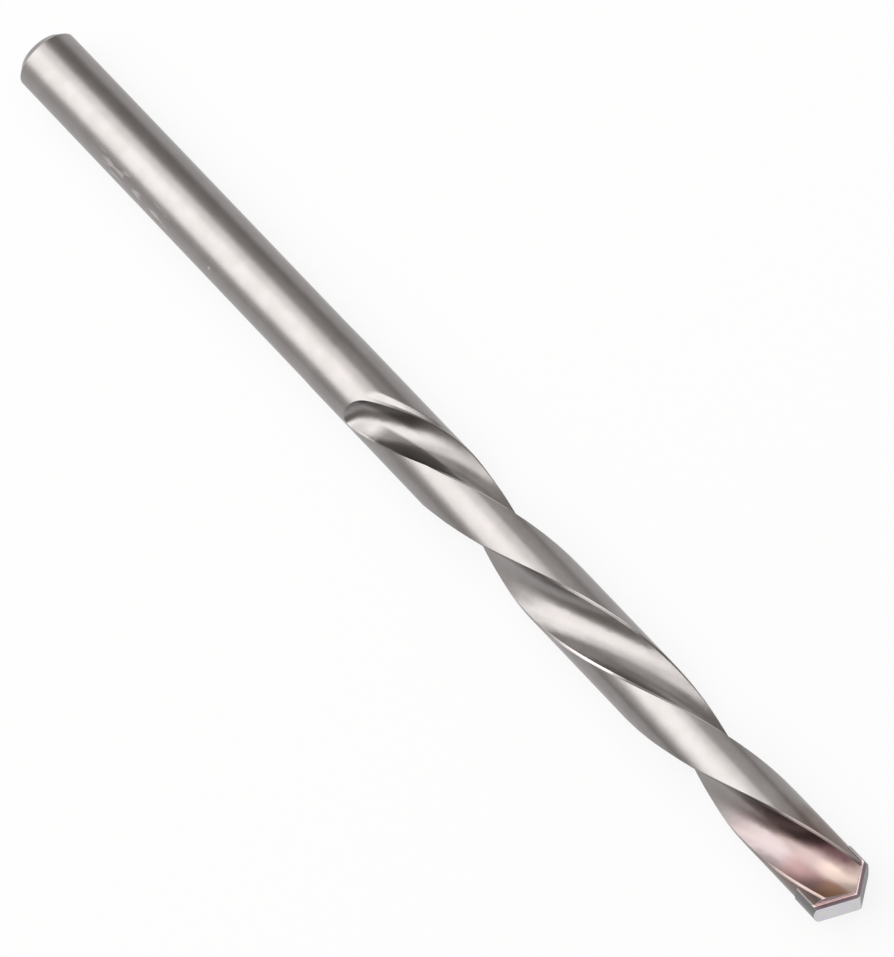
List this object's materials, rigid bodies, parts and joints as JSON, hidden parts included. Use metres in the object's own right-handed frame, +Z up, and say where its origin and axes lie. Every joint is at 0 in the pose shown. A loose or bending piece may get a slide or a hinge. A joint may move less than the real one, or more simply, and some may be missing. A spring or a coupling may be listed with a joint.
{
  "type": "masonry drill bit",
  "caption": "Round-shank masonry drill bit with a left-hand spiral, flutes that run out part way up and a roof-ground carbide plate brazed across its nose.",
  "frame": {"origin": "centre of the shank's end face, on the bit's axis", "axes": "+X along the axis towards the point, +Z up, with the bit lying on its side on a surface 2.4 mm below the axis"},
  "size_m": [0.085, 0.005, 0.0048],
  "materials": {
    "satin_steel": "satin, fine-blasted",
    "carbide": "ground sintered carbide",
    "copper_braze": "dull copper"
  },
  "bodies": {
    "root": {"bit_body": "satin_steel", "carbide_tip": "carbide", "braze_seam": "copper_braze"}
  },
  "joints": []
}
